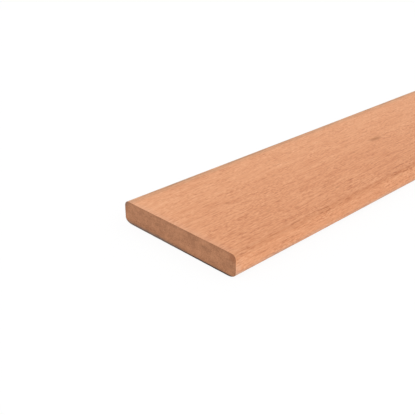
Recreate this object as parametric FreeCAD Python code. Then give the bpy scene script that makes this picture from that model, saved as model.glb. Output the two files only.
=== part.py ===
"""Hardwood decking board: one straight planed plank with eased long edges and square-sawn ends.

Units are millimetres. +X runs along the board, +Y across its width and +Z up.
The origin is the centre of the underside, so the board lies flat on the plane z = 0.
"""

import FreeCAD, Part
import math
import os

# Driving dimensions
LENGTH = 1800.0
WIDTH = 140.0
THICKNESS = 22.0
TOP_EDGE_RADIUS = 5.0

# The lower edges are eased along a quarter ellipse: further across the underside than up the side.
BOTTOM_EDGE_REACH = 9.0
BOTTOM_EDGE_RISE = 5.0

# An easing never eats up the whole edge: this much of each edge face stays flat.
LEAST_EDGE_FLAT = 2.0

NODE = "decking_board"


def point(y, z):
    """A point of the section, in the plane of the board's left end."""
    return FreeCAD.Vector(-LENGTH / 2, y, z)


def limited(height):
    """The height of an easing, limited by the thickness that the two easings of an edge share."""
    return min(height, (THICKNESS - LEAST_EDGE_FLAT) / 2)


def upper_corner(side):
    """The rounded corner beside the walking face: its end on that face, its curve and its end on the edge.

    side is +1 or -1, the sign of y.
    """
    radius = limited(TOP_EDGE_RADIUS)
    diagonal = radius * math.sqrt(0.5)
    centre_y = side * (WIDTH / 2 - radius)
    centre_z = THICKNESS - radius
    on_face = point(centre_y, THICKNESS)
    middle = point(centre_y + side * diagonal, centre_z + diagonal)
    on_edge = point(side * WIDTH / 2, centre_z)
    return on_face, Part.Arc(on_face, middle, on_edge), on_edge


def lower_corner(side):
    """The eased corner beside the underside, given like an upper corner."""
    rise = limited(BOTTOM_EDGE_RISE)
    reach = max(BOTTOM_EDGE_REACH, rise)
    centre_y = side * (WIDTH / 2 - reach)
    on_face = point(centre_y, 0.0)
    on_edge = point(side * WIDTH / 2, rise)
    ellipse = Part.Ellipse(on_edge, on_face, point(centre_y, rise))
    return on_face, Part.ArcOfEllipse(ellipse, 0, math.pi / 2), on_edge


def section():
    """The board's cross-section: a rectangle with four eased corners."""
    right_top, right_upper_curve, right_upper = upper_corner(+1)
    right_bottom, right_lower_curve, right_lower = lower_corner(+1)
    left_top, left_upper_curve, left_upper = upper_corner(-1)
    left_bottom, left_lower_curve, left_lower = lower_corner(-1)
    outline = [
        Part.LineSegment(left_top, right_top),
        right_upper_curve,
        Part.LineSegment(right_upper, right_lower),
        right_lower_curve,
        Part.LineSegment(right_bottom, left_bottom),
        left_lower_curve,
        Part.LineSegment(left_lower, left_upper),
        left_upper_curve,
    ]
    return Part.Face(Part.Wire([curve.toShape() for curve in outline]))


def decking_board():
    """The section drawn out along the board's whole length."""
    return section().extrude(FreeCAD.Vector(LENGTH, 0, 0))


def main():
    board = decking_board()
    os.makedirs("parts", exist_ok=True)
    board.exportStep(os.path.join("parts", NODE + ".step"))
    box = board.BoundBox
    print(f"{NODE}: valid {board.isValid()}, solids {len(board.Solids)}, volume {board.Volume:.1f} mm3")
    print(f"x {box.XMin} to {box.XMax}, y {box.YMin} to {box.YMax}, z {box.ZMin} to {box.ZMax}")


main()
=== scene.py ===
"""Looks of the decking board: planed hardwood with sawn ends, on a white floor in soft studio light.

The mesh, the camera and the light are in metres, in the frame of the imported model: +X along the board,
+Y across it and +Z up. The near end is at -X and the near edge at -Y. The wood's patterns are laid out
in millimetres on the board's own coordinates, so that its faces, edges and ends all show one and the
same piece of timber.
"""

import math

import bpy
import numpy as np
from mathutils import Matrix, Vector


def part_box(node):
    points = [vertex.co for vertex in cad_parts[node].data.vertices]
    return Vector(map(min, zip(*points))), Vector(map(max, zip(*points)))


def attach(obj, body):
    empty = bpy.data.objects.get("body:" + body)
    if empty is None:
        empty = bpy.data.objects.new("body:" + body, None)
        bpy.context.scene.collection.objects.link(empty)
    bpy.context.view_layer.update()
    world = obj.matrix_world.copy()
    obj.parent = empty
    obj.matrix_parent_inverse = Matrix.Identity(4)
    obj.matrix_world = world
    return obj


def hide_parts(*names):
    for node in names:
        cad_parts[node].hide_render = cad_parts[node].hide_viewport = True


MM = 0.001
SEED = 41

NODE = "decking_board"

# Section of the board: how far its eased edges reach along the wide faces and along the sides.
# Its length, width and thickness come from the frame.
TOP_EDGE_REACH = 5.0 * MM
TOP_EDGE_RISE = 5.0 * MM
BOTTOM_EDGE_REACH = 9.0 * MM
BOTTOM_EDGE_RISE = 5.0 * MM

# Grid of the board's mesh: fine across the grain, coarser along it
STATION_STEP = 5.0 * MM
FLAT_COLUMNS = 76
ARC_COLUMNS = 9
EDGE_ROWS = 8

# Relief of the planed faces: long low ridges along the grain
GRAIN_RELIEF = 0.10 * MM
GRAIN_WAVES = 60
GRAIN_WAVE_LENGTHS = (70.0 * MM, 500.0 * MM)
GRAIN_WAVE_WIDTHS = (5.0 * MM, 40.0 * MM)

# Edge around each sawn end: lightly and unevenly worn
ARRIS_STEPS = 4
ARRIS_RADIUS = 0.15 * MM
ARRIS_WEAR = 0.20 * MM
ARRIS_WAVES = 40
ARRIS_WAVE_WIDTHS = (4.0 * MM, 60.0 * MM)
ARRIS_ROOM = 0.6 * MM

# Layout of the map for baked colours: a strip for the long faces, a row for the two ends
STRIP_SHARE = 0.90
END_SHARE = 0.50
MAP_MARGIN = 0.006

# Camera, placed from the middle of the near end's lower edge
CAMERA_OFFSET = Vector((-345.6, -393.9, 297.7)) * MM
CAMERA_HEADING = math.radians(45.83)
CAMERA_PITCH = math.radians(26.28)
CAMERA_LENS = 60.68
SENSOR_WIDTH = 36.0

# Light: a white room all round and one wide soft key from the right, above the near edge
WHITE = (1.0, 1.0, 1.0, 1.0)
ROOM_STRENGTH = 0.955
KEY_STRENGTH = 0.55
KEY_FROM = Vector((0.30, -0.70, 0.65))
KEY_ANGLE = math.radians(50)
FLOOR_SIZE = 60.0
FLOOR_GLOW = 0.92
FLOOR_BOUNCE = 0.95

# The wood from here on is in millimetres, with sizes along the grain, across it and up. A fade has two
# limits: where a feature is at its fullest and where it has gone. A share is how much of a colour lies
# over the wood, and a tone is what a feature adds to its paleness. A shift gives a pattern another start.

# Colours of the planed faces, from the darkest dashes to the palest
TONES = [
    (0.0, (0.330, 0.105, 0.042)),
    (0.35, (0.560, 0.218, 0.102)),
    (0.55, (0.690, 0.305, 0.152)),
    (0.75, (0.770, 0.372, 0.197)),
    (1.0, (0.850, 0.460, 0.260)),
]
PORE_COLOUR = (0.300, 0.092, 0.036)
VEIN_COLOUR = (0.365, 0.118, 0.048)
MARK_COLOUR = (0.360, 0.135, 0.048)
# Painted highlight beside the saw cuts
CUT_HIGHLIGHT_COLOUR = (0.690, 0.405, 0.290)
DUST_COLOUR = (0.430, 0.395, 0.345)
# Painted shade on the far upper edge
FAR_EDGE_SHADE_COLOUR = (0.310, 0.188, 0.112)

# Colours of the sawn ends, from the darkest to the palest
END_TONES = [
    (0.0, (0.192, 0.075, 0.035)),
    (0.5, (0.495, 0.226, 0.115)),
    (1.0, (0.667, 0.344, 0.189)),
]
END_PORE_COLOUR = (0.170, 0.066, 0.032)
# The next two are painted shade at the foot of the ends and a painted contact shadow there
FOOT_SHADE_COLOUR = (0.120, 0.108, 0.098)
CONTACT_SHADOW_COLOUR = (0.022, 0.016, 0.012)
STAIN_COLOUR = (0.240, 0.055, 0.012)
SMUDGE_COLOUR = (0.120, 0.105, 0.090)

# Slow sideways drift of the grain
DRIFT = 22.0
DRIFT_SIZE = (420.0, 120.0, 120.0)
DRIFT_SHIFT = (900.0, 70.0, 30.0)

# Growth layers, which curve round the heart of the tree
PITH_Y = 22.0
PITH_Z = -175.0
LAYER_STEP = 4.2
LAYER_WOBBLE = 9.0
LAYER_WOBBLE_SIZE = (260.0, 40.0, 40.0)

# Streaks along the grain: broad ribbons and narrow fibres
RIBBON_SIZE = (300.0, 7.5, 7.5)
FIBRE_SIZE = (24.0, 1.5, 1.5)

# Fine short dashes: how clear they are all over, and what patches and the two sides add to that
DASH_SIZE = (4.0, 1.2, 1.2)
DASH_CLEARNESS = 0.55
PATCH_CLEARNESS = 0.90
PATCH_SIZE = (45.0, 12.0, 12.0)
PATCH_SHIFT = (118.0, -96.0, -290.0)
PATCH_FADE = (0.68, 0.32)
SIDE_CLEARNESS = 0.30
SIDE_FADE = (0.1, 1.0)

# Open pores: large ones, and fainter small ones between them
LARGE_PORE_SIZE = (22.0, 1.9, 1.9)
LARGE_PORE_FADE = (0.10, 0.30)
SMALL_PORE_SIZE = (12.0, 1.1, 1.1)
SMALL_PORE_SHIFT = (7.0, 31.3, 17.9)
SMALL_PORE_FADE = (0.12, 0.36)
SMALL_PORE_SHARE = 0.7

# Dark vein along the near upper edge: how far in from the side and below the walking face its middle
# lies, its strokes, and the places where they crowd together: x from the near end, half length, strength
VEIN_INSET = 2.2
VEIN_DEPTH = 1.1
VEIN_FADE = (1.4, 4.0)
VEIN_SHARE = 0.22
STROKE_SIZE = (8.0, 0.9, 0.9)
STROKE_FADE = (0.64, 0.48)
STROKE_SHARE = 0.80
LOOSE_STROKES = 0.20
CROWDED_STROKES = 0.60
CROWD_SIZE = (70.0, 400.0, 400.0)
CROWD_FADE = (0.75, 0.55)
CROWD_CORE = 0.4
CROWDS = [
    (12.0, 11.0, 0.7),
    (78.0, 9.0, 0.8),
    (118.0, 14.0, 1.0),
    (146.0, 12.0, 0.5),
    (164.0, 7.0, 0.6),
    (205.0, 9.0, 0.5),
    (245.0, 20.0, 0.7),
]

# Dark marks in the walking face: x from the near end, y, half length, half width, strength.
# Flecks are faint marks of the same kind, scattered all through the board.
MARK_FADE = (0.1, 1.0)
MARKS = [
    (297.5, 0.4, 16.0, 5.6, 0.67),
    (63.0, 1.0, 5.0, 1.3, 0.50),
    (153.0, -39.0, 5.0, 1.3, 0.50),
    (102.0, -48.0, 5.0, 1.3, 0.50),
    (162.0, -48.0, 6.0, 1.3, 0.50),
    (77.0, -36.0, 4.5, 1.3, 0.45),
    (247.0, -7.0, 5.0, 1.3, 0.45),
]
FLECK_SIZE = (90.0, 14.0, 14.0)
FLECK_FADE = (0.02, 0.09)
FLECK_SHARE = 0.35

# Painted highlight in a strip beside each saw cut, stronger near the long edges. It leaves the stain free.
CUT_HIGHLIGHT_FADE = (2.0, 10.0)
CUT_HIGHLIGHT_RAGGED = 2.0
CUT_HIGHLIGHT_RAGGED_SIZE = (6.0, 1.5, 1.5)
CUT_HIGHLIGHT_STAIN_FADE = (11.0, 4.0)
CUT_HIGHLIGHT_SHARE = 0.17
CUT_HIGHLIGHT_EDGE_SHARE = 0.17

# Dust on the lower edges, and painted shade on the far upper edge, both stronger in ragged patches
RAGGED_SIZE = (45.0, 1.8, 1.8)
RAGGED_FADE = (0.60, 0.40)
DUST_SIDE_FADE = (4.0, 7.0)
DUST_HEIGHT_FADE = (3.5, 8.0)
DUST_SHARE = 0.12
DUST_PATCH_SHARE = 0.30
FAR_SHADE_SIDE_FADE = (3.0, 14.0)
FAR_SHADE_DEPTH_FADE = (1.0, 4.0)
FAR_SHADE_SHARE = 0.26
FAR_SHADE_PATCH_SHARE = 0.44

# Tones of the planed faces. The slope is for each millimetre towards the far edge.
PLANED_TONE = -0.205
SLOPE_TONE = 0.0014
LAYER_TONE = 0.16
RIBBON_TONE = 0.14
DASH_TONE = 0.67
FIBRE_TONE = 0.62
# EDGE_TONE is painted light: it makes the long sides paler, to even them with the walking face
EDGE_TONE = 0.10
EDGE_FADE = (0.5, 12.0)
CUT_TONE = 0.042
CUT_FADE = (10.0, 36.0)
PORE_SHARE = 0.30

# Shine of the bare wood, planed or sawn
SPECULAR = 0.20

# Surface of the planed faces: roughness, depth of the fine relief, and its heights as shares of that depth
PLANED_ROUGHNESS = 0.58
DASH_ROUGHNESS = 0.15
PORE_ROUGHNESS = 0.12
PLANED_DEPTH = 0.12
PLANED_HEIGHT = 0.6
FIBRE_HEIGHT = 0.3
PORE_HEIGHT = -0.6

# Patterns of the sawn ends
GRIT_SIZE = (0.9, 0.9, 0.9)
MOTTLE_SIZE = (20.0, 14.0, 11.0)
SAW_MARK_SIZE = (1.0, 0.8, 40.0)
SAW_MARK_SLANT = 0.2

# Tones of the sawn ends
END_TONE = -0.56
END_LAYER_TONE = 0.30
MOTTLE_TONE = 0.90
GRIT_TONE = 0.60
SAW_MARK_TONE = 0.15
END_PORE_SHARE = 0.40

# Darker border of the sawn ends, which follows an outline with the upper edges' radius at each corner
END_CORNER = TOP_EDGE_REACH / MM
BORDER_FADE = (0.5, 3.0)
BORDER_SHARE = 0.14

# Stain in the near upper corner of the near end and smudge in its far upper corner: how far in from the
# side and below the walking face their middles lie
STAIN_INSET = 2.7
STAIN_DEPTH = 2.7
STAIN_FADE = (2.0, 6.5)
STAIN_SHARE = 0.34
SMUDGE_INSET = 1.0
SMUDGE_DEPTH = 1.0
SMUDGE_FADE = (2.0, 6.0)
SMUDGE_SHARE = 0.42

# Painted shade at the foot of the sawn ends: lower in the near half, with a crisp painted contact shadow.
# The slope is for each millimetre towards the far edge.
NEAR_HALF_FADE = (-30.0, 25.0)
FOOT_GRIT = 0.8
FOOT_DROP = 1.3
FOOT_FADE = (0.6, 4.8)
FOOT_SHARE = 0.88
FOOT_SLOPE = -0.002
CONTACT_SHADOW_FADE = (1.1, 2.3)
CONTACT_SHADOW_SHARE = 0.92

# Surface of the sawn ends, in the same terms
END_ROUGHNESS = 0.62
GRIT_ROUGHNESS = 0.2
END_DEPTH = 0.15
END_HEIGHT = 0.5
GRIT_HEIGHT = 0.3
SAW_MARK_HEIGHT = 0.2
END_PORE_HEIGHT = -0.5

# Middle of a range from 0 to 1, and weights that leave out the way along the board
MIDDLE = 0.5
ACROSS = (0.0, 1.0, 1.0)

# Numbers of the colour sockets on a mix node, where several sockets share one name
MIX_FIRST = 6
MIX_SECOND = 7
MIX_RESULT = 2


def edge_drop(reach, rise, width, y):
    """How far the section has turned away from its flat face at y, on an edge eased by a quarter ellipse."""
    past = max(0.0, abs(y) - (width / 2 - reach)) / reach
    return rise * (1 - math.sqrt(max(0.0, 1 - past**2)))


def section_columns(width):
    """The places across the board where its grid has lines, closer together on the rounded edges."""
    flat = width / 2 - BOTTOM_EDGE_REACH
    middle = np.linspace(-flat, flat, FLAT_COLUMNS + 1)
    turns = np.linspace(0, math.pi / 2, ARC_COLUMNS + 1)[1:]
    arc = flat + BOTTOM_EDGE_REACH * np.sin(turns)
    return np.concatenate([-arc[::-1], middle, arc])


def section_grid(width, thickness):
    """The section as a grid of points [row, column] in (y, z), from the underside up to the walking face."""
    columns = section_columns(width)
    low = np.array([edge_drop(BOTTOM_EDGE_REACH, BOTTOM_EDGE_RISE, width, y) for y in columns])
    high = thickness - np.array([edge_drop(TOP_EDGE_REACH, TOP_EDGE_RISE, width, y) for y in columns])
    share = np.linspace(0, 1, EDGE_ROWS + 1)[:, None]
    rows = low + (high - low) * share
    return np.stack([np.broadcast_to(columns, rows.shape), rows], axis=2)


def section_loop(rows, columns):
    """The grid places along the section's outline, from half-way up the far edge over the top."""
    top = [(rows - 1, c) for c in range(columns - 1, -1, -1)]
    near = [(r, 0) for r in range(rows - 2, 0, -1)]
    bottom = [(0, c) for c in range(columns)]
    far = [(r, columns - 1) for r in range(1, rows - 1)]
    start = len(far) // 2
    return far[start:] + top + near + bottom + far[:start]


def distances_around(loop):
    """Distance along a closed outline to each of its points, and last the whole way round."""
    steps = np.linalg.norm(np.roll(loop, -1, axis=0) - loop, axis=1)
    return np.concatenate([[0], np.cumsum(steps)])


def outward(loop):
    """Unit normals of a closed outline that runs anticlockwise as seen from the +X end."""
    along = np.roll(loop, -1, axis=0) - np.roll(loop, 1, axis=0)
    normals = np.stack([along[:, 1], -along[:, 0]], axis=1)
    return normals / np.linalg.norm(normals, axis=1, keepdims=True)


def spread(rng, count, limits):
    """Random sizes between two limits, evenly spread on a log scale."""
    return np.exp(rng.uniform(*np.log(limits), count))


def random_phase(rng, count):
    """Random angles for the starts of waves."""
    return rng.uniform(0, 2 * math.pi, count)


def evened(heights):
    """The same heights, brought to the range from 0 to 1."""
    return (heights - heights.min()) / np.ptp(heights)


def grain_relief(rng, x, around, girth):
    """Relief at each station and outline place, from 0 to 1. Its waves close up around the outline."""
    lengths = spread(rng, GRAIN_WAVES, GRAIN_WAVE_LENGTHS) * rng.choice([-1, 1], GRAIN_WAVES)
    turns = np.round(girth / spread(rng, GRAIN_WAVES, GRAIN_WAVE_WIDTHS))
    angle = 2 * math.pi * around / girth
    height = np.zeros((len(x), len(around)))
    for length, turn, start in zip(lengths, turns, random_phase(rng, GRAIN_WAVES)):
        height += np.cos(2 * math.pi * x[:, None] / length + turn * angle + start)
    return evened(height)


def arris_radius(rng, around, girth):
    """Radius of the edge at each place around a sawn end, uneven all round."""
    turns = np.round(girth / spread(rng, ARRIS_WAVES, ARRIS_WAVE_WIDTHS))
    angle = 2 * math.pi * around / girth
    starts = random_phase(rng, ARRIS_WAVES)
    wear = evened(sum(np.cos(turn * angle + start) for turn, start in zip(turns, starts)))
    return ARRIS_RADIUS + ARRIS_WEAR * wear


def worn_end(edge, normals, wear, tip, side):
    """The rings of one rounded arris, from the long faces to the end face at x = side * tip."""
    rings = []
    for turn in np.linspace(0, math.pi / 2, ARRIS_STEPS + 1):
        x = side * (tip - wear * (1 - math.sin(turn)))
        section = edge[:, 1:] - (wear * (1 - math.cos(turn)))[:, None] * normals
        rings.append(np.column_stack([x, section]))
    return np.array(rings)


def board_stations(rng, loop, around, girth, length):
    """The outline's points [station, place] from one end to the other, with the relief and the worn ends."""
    normals = outward(loop)
    tip = length / 2
    inside = tip - ARRIS_ROOM
    x = np.linspace(-inside, inside, round(2 * inside / STATION_STEP) + 1)
    relief = grain_relief(rng, x, around, girth) * GRAIN_RELIEF
    body = np.empty((len(x), len(loop), 3))
    body[:, :, 0] = x[:, None]
    body[:, :, 1:] = loop - relief[:, :, None] * normals
    near = worn_end(body[0], normals, arris_radius(rng, around, girth), tip, -1)
    far = worn_end(body[-1], normals, arris_radius(rng, around, girth), tip, +1)
    return np.concatenate([near[::-1], body, far])


def long_faces(stations, around, length):
    """Faces of the long sides and of the arrises at the ends, with their corners on the map."""
    count, outline = stations.shape[:2]
    s, p = np.meshgrid(np.arange(count - 1), np.arange(outline), indexing="ij")
    q = (p + 1) % outline
    ring = s * outline
    next_ring = ring + outline
    faces = np.stack([ring + p, ring + q, next_ring + q, next_ring + p], axis=-1)
    u = (stations[:, 0, 0] + length / 2) / length
    v = around / around[-1] * STRIP_SHARE
    corners = np.stack([u[s], v[p], u[s], v[p + 1], u[s + 1], v[p + 1], u[s + 1], v[p]], axis=-1)
    return faces.reshape(-1, 4), corners.reshape(-1, 4, 2)


def end_numbers(places, shape, ring, first_inner):
    """Point numbers on an end's grid: the ring along its border, and new numbers from first_inner inside."""
    numbers = np.empty(shape, int)
    inner = numbers[1:-1, 1:-1]
    inner[:] = first_inner + np.arange(inner.size).reshape(inner.shape)
    for number, place in zip(ring, places):
        numbers[place] = number
    return numbers


def end_inner(points, numbers):
    """The inner points of an end's grid, spread evenly between its lower and upper border."""
    rows = len(numbers)
    low = points[numbers[0, 1:-1]]
    high = points[numbers[-1, 1:-1]]
    share = np.linspace(0, 1, rows)[1:-1, None, None]
    return (low * (1 - share) + high * share).reshape(-1, 3)


def end_faces(numbers, side):
    """Faces between the points of an end's grid, turned to look away from the board."""
    square = [numbers[:-1, :-1], numbers[:-1, 1:], numbers[1:, 1:], numbers[1:, :-1]]
    return np.stack(square[::side], axis=-1).reshape(-1, 4)


def end_corners(points, faces, side, width, thickness):
    """Corners of an end's faces on the map: both ends share one row above the strip."""
    across = points[faces][..., 1] / width + MIDDLE
    up = points[faces][..., 2] / thickness
    left = END_SHARE if side > 0 else 0.0
    u = left + MAP_MARGIN + across * (END_SHARE - 2 * MAP_MARGIN)
    v = STRIP_SHARE + MAP_MARGIN + up * (1 - STRIP_SHARE - 2 * MAP_MARGIN)
    return np.stack([u, v], axis=-1)


def finished_mesh(points, faces, corners, sawn, flat):
    """A mesh with its map. The sawn faces take the second material, and the flat ones aren't smoothed."""
    mesh = bpy.data.meshes.new("planed_board")
    mesh.from_pydata(points.tolist(), [], faces.tolist())
    mesh.uv_layers.new(name="OFBake").data.foreach_set("uv", corners.astype(np.float32).ravel())
    mesh.polygons.foreach_set("material_index", sawn.astype(np.int32))
    mesh.polygons.foreach_set("use_smooth", ~flat)
    mesh.update()
    return mesh


def board_mesh(length, width, thickness):
    """The board as one closed mesh of four-sided faces, with a map for baked colours."""
    grid = section_grid(width, thickness)
    shape = grid.shape[:2]
    places = section_loop(*shape)
    loop = np.array([grid[place] for place in places])
    around = distances_around(loop)
    stations = board_stations(np.random.default_rng(SEED), loop, around[:-1], around[-1], length)
    count, outline = stations.shape[:2]

    points = stations.reshape(-1, 3)
    faces, corners = long_faces(stations, around, length)
    step = np.arange(count - 1).repeat(outline)
    sawn = (step < ARRIS_STEPS) | (step >= count - 1 - ARRIS_STEPS)
    flat = np.zeros(len(faces), bool)
    near_ring = np.arange(outline)
    far_ring = near_ring + (count - 1) * outline
    for side, ring in ((-1, near_ring), (+1, far_ring)):
        numbers = end_numbers(places, shape, ring, len(points))
        points = np.concatenate([points, end_inner(points, numbers)])
        cap = end_faces(numbers, side)
        faces = np.concatenate([faces, cap])
        corners = np.concatenate([corners, end_corners(points, cap, side, width, thickness)])
        sawn = np.concatenate([sawn, np.ones(len(cap), bool)])
        flat = np.concatenate([flat, np.ones(len(cap), bool)])
    return finished_mesh(points, faces, corners, sawn, flat)


class Graph:
    """A node tree, with a short call for each kind of node that the materials and the light need."""

    def __init__(self, tree):
        self.nodes = tree.nodes
        self.links = tree.links

    def plug(self, source, socket):
        """Links an output to a socket, or sets the socket to a plain value."""
        if isinstance(source, bpy.types.NodeSocket):
            self.links.new(source, socket)
        else:
            socket.default_value = source

    def fed(self, kind, *inputs, operation=None):
        """A new node of this kind, with its first sockets filled."""
        node = self.nodes.new(kind)
        if operation:
            node.operation = operation
        for source, socket in zip(inputs, node.inputs):
            self.plug(source, socket)
        return node

    def number(self, operation, *inputs):
        """One sum on plain numbers."""
        return self.fed("ShaderNodeMath", *inputs, operation=operation).outputs[0]

    def vector(self, operation, *inputs):
        """One sum on vectors."""
        node = self.fed("ShaderNodeVectorMath", *inputs, operation=operation)
        return node.outputs["Value" if operation == "LENGTH" else "Vector"]

    def joined(self, x, y, z):
        """A vector from its three parts."""
        return self.fed("ShaderNodeCombineXYZ", x, y, z).outputs[0]

    def total(self, start, *terms):
        """start plus each weight times its value."""
        result = start
        for weight, value in terms:
            result = self.number("MULTIPLY_ADD", value, weight, result)
        return result

    def product(self, first, *others):
        """All the numbers multiplied together."""
        result = first
        for value in others:
            result = self.number("MULTIPLY", result, value)
        return result

    def distance(self, place, middle, weights=(1.0, 1.0, 1.0)):
        """Distance of a place from a middle, with a weight for each direction."""
        offset = self.vector("SUBTRACT", place, middle)
        return self.vector("LENGTH", self.vector("MULTIPLY", offset, weights))

    def noise(self, place, size, detail=2.0, roughness=0.5):
        """Soft random tone from 0 to 1, in patches of this size along x, y and z."""
        node = self.nodes.new("ShaderNodeTexNoise")
        self.plug(self.vector("DIVIDE", place, size), node.inputs["Vector"])
        node.inputs["Scale"].default_value = 1.0
        node.inputs["Detail"].default_value = detail
        node.inputs["Roughness"].default_value = roughness
        return node.outputs[0]

    def cells(self, place, size):
        """Distance to the nearest of scattered points, one in each cell of this size along x, y and z."""
        node = self.nodes.new("ShaderNodeTexVoronoi")
        self.plug(self.vector("DIVIDE", place, size), node.inputs["Vector"])
        node.inputs["Scale"].default_value = 1.0
        return node.outputs["Distance"]

    def fade(self, value, full, none):
        """1 where the value is at full, 0 where it is at none, smooth between."""
        node = self.nodes.new("ShaderNodeMapRange")
        node.interpolation_type = "SMOOTHSTEP"
        self.plug(value, node.inputs["Value"])
        node.inputs["From Min"].default_value = none
        node.inputs["From Max"].default_value = full
        return node.outputs["Result"]

    def rising(self, value, low, high):
        """A number that is low where the value is 0 and high where it is 1."""
        node = self.nodes.new("ShaderNodeMapRange")
        self.plug(value, node.inputs["Value"])
        node.inputs["To Min"].default_value = low
        node.inputs["To Max"].default_value = high
        return node.outputs["Result"]

    def mix(self, share, colour, other):
        """The colour, with this share of another one over it."""
        node = self.nodes.new("ShaderNodeMix")
        node.data_type = "RGBA"
        self.plug(share, node.inputs["Factor"])
        self.plug(colour, node.inputs[MIX_FIRST])
        self.plug((*other, 1.0), node.inputs[MIX_SECOND])
        return node.outputs[MIX_RESULT]

    def ramp(self, value, stops):
        """A colour for each value, from (place, colour) stops."""
        node = self.fed("ShaderNodeValToRGB", value)
        elements = node.color_ramp.elements
        while len(elements) < len(stops):
            elements.new(MIDDLE)
        for element, (place, colour) in zip(elements, stops):
            element.position = place
            element.color = (*colour, 1.0)
        return node.outputs[0]

    def bump(self, height, depth):
        """A normal for a surface whose height runs from 0 to this depth in metres."""
        node = self.nodes.new("ShaderNodeBump")
        node.inputs["Strength"].default_value = 1.0
        node.inputs["Distance"].default_value = depth
        self.plug(height, node.inputs["Height"])
        return node.outputs[0]


class Wood(Graph):
    """A wood material, with places and distances on the board in millimetres."""

    def __init__(self, name, size):
        self.material = bpy.data.materials.new(name)
        self.material.use_nodes = True
        super().__init__(self.material.node_tree)
        self.shader = self.nodes["Principled BSDF"]
        self.length, self.width, self.thickness = size
        coordinates = self.nodes.new("ShaderNodeTexCoord").outputs["Object"]
        self.place = self.vector("DIVIDE", coordinates, (MM, MM, MM))
        self.x, self.y, self.z = self.fed("ShaderNodeSeparateXYZ", self.place).outputs

    def from_cut(self):
        """Distance from the nearer saw cut."""
        return self.number("SUBTRACT", self.length / 2, self.number("ABSOLUTE", self.x))

    def from_side(self):
        """Distance from the nearer long side."""
        return self.number("SUBTRACT", self.width / 2, self.number("ABSOLUTE", self.y))

    def from_far_side(self):
        """Distance from the far long side."""
        return self.number("SUBTRACT", self.width / 2, self.y)

    def from_face(self):
        """Distance below the walking face."""
        return self.number("SUBTRACT", self.thickness, self.z)

    def finished(self, colour, roughness, height, depth):
        """The material with this colour, roughness and fine relief."""
        self.plug(colour, self.shader.inputs["Base Color"])
        self.plug(roughness, self.shader.inputs["Roughness"])
        self.plug(self.bump(height, depth * MM), self.shader.inputs["Normal"])
        self.shader.inputs["Specular IOR Level"].default_value = SPECULAR
        return self.material


def wandering_place(wood):
    """The place in the wood, drifting slowly sideways so that the grain is not ruler-straight."""
    shifted = wood.vector("ADD", wood.place, DRIFT_SHIFT)
    y = wood.total(wood.y, (DRIFT, wood.noise(wood.place, DRIFT_SIZE, detail=1.0)))
    z = wood.total(wood.z, (DRIFT, wood.noise(shifted, DRIFT_SIZE, detail=1.0)))
    return wood.joined(wood.x, y, z)


def growth_layers(wood, place):
    """Tone of the growth layers: uneven soft bands at equal distances from the heart."""
    radius = wood.distance(place, (0.0, PITH_Y, PITH_Z), ACROSS)
    radius = wood.total(radius, (LAYER_WOBBLE, wood.noise(place, LAYER_WOBBLE_SIZE)))
    return wood.noise(wood.joined(radius, 0.0, 0.0), (LAYER_STEP, 1.0, 1.0))


def fine_dashes(wood, place):
    """Fine short dashes along the grain, clearer in some patches and on the two sides."""
    dashes = wood.noise(place, DASH_SIZE, detail=1.0)
    patch = wood.noise(wood.vector("ADD", place, PATCH_SHIFT), PATCH_SIZE)
    patch = wood.fade(patch, *PATCH_FADE)
    side = wood.fade(wood.from_side(), *SIDE_FADE)
    clearness = wood.total(DASH_CLEARNESS, (PATCH_CLEARNESS, patch), (SIDE_CLEARNESS, side))
    return wood.total(MIDDLE, (clearness, wood.number("SUBTRACT", dashes, MIDDLE)))


def pores(wood, place):
    """Where the wood's vessels are cut open: short dashes along the grain, dots on a sawn end."""
    large = wood.fade(wood.cells(place, LARGE_PORE_SIZE), *LARGE_PORE_FADE)
    shifted = wood.vector("ADD", place, SMALL_PORE_SHIFT)
    small = wood.fade(wood.cells(shifted, SMALL_PORE_SIZE), *SMALL_PORE_FADE)
    return wood.number("MAXIMUM", large, wood.product(small, SMALL_PORE_SHARE))


def stroke_crowds(wood):
    """How closely the vein's strokes crowd together along the board, from 0 to 1."""
    result = wood.fade(wood.noise(wood.place, CROWD_SIZE), *CROWD_FADE)
    for from_near_end, reach, strength in CROWDS:
        away = wood.number("ABSOLUTE", wood.number("SUBTRACT", wood.x, from_near_end - wood.length / 2))
        crowd = wood.product(wood.fade(away, CROWD_CORE * reach, reach), strength)
        result = wood.number("MAXIMUM", result, crowd)
    return result


def dark_vein(wood):
    """The dark reddish vein along the near upper edge: faint all along, with crowds of short strokes."""
    middle = (0.0, VEIN_INSET - wood.width / 2, wood.thickness - VEIN_DEPTH)
    band = wood.fade(wood.distance(wood.place, middle, ACROSS), *VEIN_FADE)
    strokes = wood.fade(wood.noise(wood.place, STROKE_SIZE), *STROKE_FADE)
    strokes = wood.product(strokes, wood.total(LOOSE_STROKES, (CROWDED_STROKES, stroke_crowds(wood))))
    return wood.product(band, wood.total(VEIN_SHARE, (STROKE_SHARE, strokes)))


def dark_marks(wood):
    """The marks in the walking face, and faint flecks of the same kind all through the board."""
    flecks = wood.fade(wood.cells(wood.place, FLECK_SIZE), *FLECK_FADE)
    result = wood.product(flecks, FLECK_SHARE)
    for from_near_end, y, reach, breadth, strength in MARKS:
        middle = (from_near_end - wood.length / 2, y, wood.thickness)
        distance = wood.distance(wood.place, middle, (1 / reach, 1 / breadth, 1 / breadth))
        mark = wood.product(wood.fade(distance, *MARK_FADE), strength)
        result = wood.number("MAXIMUM", result, mark)
    return result


def corner_distance(wood, side, inset, depth):
    """Distance from a spot in an upper corner of the near end. side is +1 or -1, the sign of its y."""
    middle = (-wood.length / 2, side * (wood.width / 2 - inset), wood.thickness - depth)
    return wood.distance(wood.place, middle)


def stain_distance(wood):
    """Distance from the middle of the stain in the near upper corner of the near end."""
    return corner_distance(wood, -1, STAIN_INSET, STAIN_DEPTH)


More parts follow.
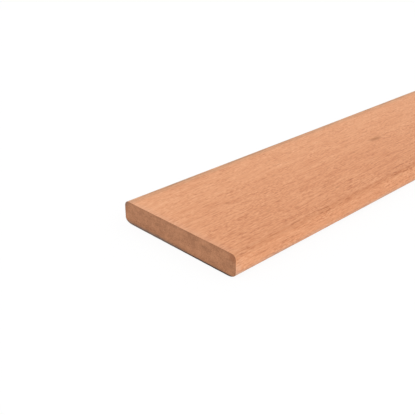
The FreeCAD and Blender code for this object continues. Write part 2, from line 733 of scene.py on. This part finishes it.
def painted_highlight_by_cuts(wood, edge):
    """A painted highlight: a paler strip beside each saw cut, except where the near end is stained."""
    ragged = wood.noise(wood.place, CUT_HIGHLIGHT_RAGGED_SIZE)
    strip = wood.fade(wood.total(wood.from_cut(), (CUT_HIGHLIGHT_RAGGED, ragged)), *CUT_HIGHLIGHT_FADE)
    unstained = wood.fade(stain_distance(wood), *CUT_HIGHLIGHT_STAIN_FADE)
    return wood.product(strip, unstained, wood.total(CUT_HIGHLIGHT_SHARE, (CUT_HIGHLIGHT_EDGE_SHARE, edge)))


def ragged_patches(wood):
    """Uneven patches from 0 to 1, drawn out along the board."""
    return wood.fade(wood.noise(wood.place, RAGGED_SIZE, detail=5.0, roughness=0.65), *RAGGED_FADE)


def dusty_edges(wood):
    """The pale dust on both lower edges, in ragged patches."""
    outer = wood.fade(wood.from_side(), *DUST_SIDE_FADE)
    low = wood.fade(wood.z, *DUST_HEIGHT_FADE)
    return wood.product(outer, low, wood.total(DUST_SHARE, (DUST_PATCH_SHARE, ragged_patches(wood))))


def painted_far_edge_shade(wood):
    """Painted shade on the far upper edge, which turns away from the light, in ragged patches."""
    far = wood.fade(wood.from_far_side(), *FAR_SHADE_SIDE_FADE)
    high = wood.fade(wood.from_face(), *FAR_SHADE_DEPTH_FADE)
    return wood.product(far, high, wood.total(FAR_SHADE_SHARE, (FAR_SHADE_PATCH_SHARE, ragged_patches(wood))))


def planed_wood(size):
    """Planed long faces: warm brown, with fine dashes and open pores along the grain."""
    wood = Wood("planed_hardwood", size)
    place = wandering_place(wood)
    dashes = fine_dashes(wood, place)
    fibres = wood.noise(place, FIBRE_SIZE)
    vessel = pores(wood, place)
    # Painted light: the long sides paler; this also strengthens the painted highlight by the cuts
    edge = wood.fade(wood.from_side(), *EDGE_FADE)
    tone = wood.total(
        PLANED_TONE,
        (SLOPE_TONE, wood.y),
        (LAYER_TONE, growth_layers(wood, place)),
        (RIBBON_TONE, wood.noise(place, RIBBON_SIZE)),
        (DASH_TONE, dashes),
        (FIBRE_TONE, fibres),
        (EDGE_TONE, edge),
        (CUT_TONE, wood.fade(wood.from_cut(), *CUT_FADE)),
    )
    colour = wood.ramp(tone, TONES)
    colour = wood.mix(wood.product(vessel, PORE_SHARE), colour, PORE_COLOUR)
    colour = wood.mix(dark_vein(wood), colour, VEIN_COLOUR)
    colour = wood.mix(dark_marks(wood), colour, MARK_COLOUR)
    # Painted highlight beside the saw cuts
    colour = wood.mix(painted_highlight_by_cuts(wood, edge), colour, CUT_HIGHLIGHT_COLOUR)
    colour = wood.mix(dusty_edges(wood), colour, DUST_COLOUR)
    # Painted shade on the far upper edge
    colour = wood.mix(painted_far_edge_shade(wood), colour, FAR_EDGE_SHADE_COLOUR)
    roughness = wood.total(PLANED_ROUGHNESS, (DASH_ROUGHNESS, dashes), (PORE_ROUGHNESS, vessel))
    height = wood.total(PLANED_HEIGHT, (FIBRE_HEIGHT, fibres), (PORE_HEIGHT, vessel))
    return wood.finished(colour, roughness, height, PLANED_DEPTH)


def saw_marks(wood):
    """Fine, slightly slanting lines that the saw left on the end."""
    slant = wood.total(wood.y, (SAW_MARK_SLANT, wood.z))
    return wood.noise(wood.joined(0.0, slant, wood.z), SAW_MARK_SIZE)


def end_border(wood):
    """The darker border of a sawn end: in full at its outline, gone a few millimetres inside it."""
    half_width = wood.width / 2
    half_thickness = wood.thickness / 2
    across = wood.number("SUBTRACT", wood.number("ABSOLUTE", wood.y), half_width - END_CORNER)
    up = wood.number("ABSOLUTE", wood.number("SUBTRACT", wood.z, half_thickness))
    up = wood.number("SUBTRACT", up, half_thickness - END_CORNER)
    past = wood.vector("MAXIMUM", wood.joined(across, up, 0.0), (0.0, 0.0, 0.0))
    inside = wood.number("MINIMUM", wood.number("MAXIMUM", across, up), 0.0)
    outwards = wood.number("ADD", wood.vector("LENGTH", past), inside)
    border = wood.fade(wood.number("SUBTRACT", END_CORNER, outwards), *BORDER_FADE)
    return wood.product(border, BORDER_SHARE)


def stained_corner(wood):
    """The brown stain in the near upper corner of the near end."""
    return wood.product(wood.fade(stain_distance(wood), *STAIN_FADE), STAIN_SHARE)


def smudged_corner(wood):
    """The grey smudge in the far upper corner of the near end."""
    distance = corner_distance(wood, +1, SMUDGE_INSET, SMUDGE_DEPTH)
    return wood.product(wood.fade(distance, *SMUDGE_FADE), SMUDGE_SHARE)


def painted_foot_shade(wood, grit, near):
    """Painted shade in a dark band along the lower edge of a sawn end, lower in the near half."""
    height = wood.total(wood.z, (FOOT_GRIT, grit), (FOOT_DROP, near))
    return wood.product(wood.fade(height, *FOOT_FADE), wood.total(FOOT_SHARE, (FOOT_SLOPE, wood.y)))


def painted_contact_shadow(wood, grit, near):
    """A painted contact shadow: a crisp dark line along the foot's near half."""
    height = wood.total(wood.z, (FOOT_GRIT, grit))
    return wood.product(wood.fade(height, *CONTACT_SHADOW_FADE), near, CONTACT_SHADOW_SHARE)


def sawn_wood(size):
    """Sawn ends: darker end grain, dotted with pores, with faint saw marks and painted shade at the foot."""
    wood = Wood("sawn_end_grain", size)
    place = wandering_place(wood)
    grit = wood.noise(wood.place, GRIT_SIZE, roughness=0.7)
    mottle = wood.noise(place, MOTTLE_SIZE, detail=4.0, roughness=0.85)
    marks = saw_marks(wood)
    vessel = pores(wood, place)
    near = wood.fade(wood.y, *NEAR_HALF_FADE)
    tone = wood.total(
        END_TONE,
        (END_LAYER_TONE, growth_layers(wood, place)),
        (MOTTLE_TONE, mottle),
        (GRIT_TONE, grit),
        (SAW_MARK_TONE, marks),
    )
    colour = wood.ramp(tone, END_TONES)
    colour = wood.mix(wood.product(vessel, END_PORE_SHARE), colour, END_PORE_COLOUR)
    colour = wood.mix(end_border(wood), colour, END_PORE_COLOUR)
    colour = wood.mix(stained_corner(wood), colour, STAIN_COLOUR)
    colour = wood.mix(smudged_corner(wood), colour, SMUDGE_COLOUR)
    # Painted shade and a painted contact shadow at the foot of the ends
    colour = wood.mix(painted_foot_shade(wood, grit, near), colour, FOOT_SHADE_COLOUR)
    colour = wood.mix(painted_contact_shadow(wood, grit, near), colour, CONTACT_SHADOW_COLOUR)
    roughness = wood.total(END_ROUGHNESS, (GRIT_ROUGHNESS, grit))
    height = wood.total(END_HEIGHT, (GRIT_HEIGHT, grit), (SAW_MARK_HEIGHT, marks), (END_PORE_HEIGHT, vessel))
    return wood.finished(colour, roughness, height, END_DEPTH)


def seen_directly(graph):
    """1 for rays from the camera, also by way of gloss or glass, and 0 for rays that light the object."""
    path = graph.nodes.new("ShaderNodeLightPath")
    seen = path.outputs["Is Camera Ray"]
    for name in ("Is Glossy Ray", "Is Transmission Ray"):
        seen = graph.number("MAXIMUM", seen, path.outputs[name])
    return seen


def floor_material():
    """White as seen, with a faint shadow, and a little greyer in the light that it throws back."""
    material = bpy.data.materials.new("white_floor")
    material.use_nodes = True
    graph = Graph(material.node_tree)
    graph.nodes.clear()
    seen = seen_directly(graph)
    paint = graph.fed("ShaderNodeBsdfDiffuse", graph.rising(seen, FLOOR_BOUNCE, 1.0))
    glow = graph.nodes.new("ShaderNodeEmission")
    glow.inputs["Strength"].default_value = 1.0
    share = graph.rising(seen, 0.0, FLOOR_GLOW)
    blend = graph.fed("ShaderNodeMixShader", share, paint.outputs[0], glow.outputs[0])
    graph.fed("ShaderNodeOutputMaterial", blend.outputs[0])
    return material


def make_floor():
    """A wide level floor under the board."""
    half = FLOOR_SIZE / 2
    corners = [(-half, -half, 0), (half, -half, 0), (half, half, 0), (-half, half, 0)]
    mesh = bpy.data.meshes.new("floor")
    mesh.from_pydata(corners, [], [(0, 1, 2, 3)])
    mesh.materials.append(floor_material())
    floor = bpy.data.objects.new("floor", mesh)
    bpy.context.scene.collection.objects.link(floor)


def make_light():
    """An even white room and a wide soft key light."""
    world = bpy.data.worlds.new("white_room")
    world.use_nodes = True
    graph = Graph(world.node_tree)
    background = graph.nodes["Background"]
    background.inputs["Color"].default_value = WHITE
    graph.plug(graph.rising(seen_directly(graph), ROOM_STRENGTH, 1.0), background.inputs["Strength"])
    bpy.context.scene.world = world

    key = bpy.data.lights.new("key", "SUN")
    key.energy = KEY_STRENGTH
    key.angle = KEY_ANGLE
    lamp = bpy.data.objects.new("key", key)
    lamp.rotation_euler = KEY_FROM.to_track_quat("Z", "Y").to_euler()
    bpy.context.scene.collection.objects.link(lamp)


def make_camera(near_end):
    """A camera that looks down on the near end, as in the photograph."""
    data = bpy.data.cameras.new("camera")
    data.sensor_width = SENSOR_WIDTH
    data.lens = CAMERA_LENS
    camera = bpy.data.objects.new("camera", data)
    camera.location = near_end + CAMERA_OFFSET
    level = math.cos(CAMERA_PITCH)
    forward = Vector((
        math.cos(CAMERA_HEADING) * level,
        math.sin(CAMERA_HEADING) * level,
        -math.sin(CAMERA_PITCH),
    ))
    camera.rotation_euler = forward.to_track_quat("-Z", "Y").to_euler()
    bpy.context.scene.collection.objects.link(camera)
    bpy.context.scene.camera = camera


def make_board(low, high):
    """The board that shows, in place of the plain solid."""
    extents = list(high - low)
    size = [extent / MM for extent in extents]
    board = bpy.data.objects.new("planed_board", board_mesh(*extents))
    board.data.materials.append(planed_wood(size))
    board.data.materials.append(sawn_wood(size))
    bpy.context.scene.collection.objects.link(board)
    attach(board, "root")
    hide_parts(NODE)


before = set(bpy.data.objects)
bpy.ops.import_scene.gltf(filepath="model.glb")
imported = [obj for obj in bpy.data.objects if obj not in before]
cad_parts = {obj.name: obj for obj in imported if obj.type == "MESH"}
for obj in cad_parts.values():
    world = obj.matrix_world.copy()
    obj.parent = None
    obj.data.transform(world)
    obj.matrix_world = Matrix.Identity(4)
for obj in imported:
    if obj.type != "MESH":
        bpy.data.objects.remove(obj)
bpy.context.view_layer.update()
bpy.context.scene.view_settings.view_transform = "Standard"
board_low, board_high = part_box(NODE)
make_board(board_low, board_high)
make_floor()
make_light()
make_camera(Vector((board_low.x, 0.0, board_low.z)))
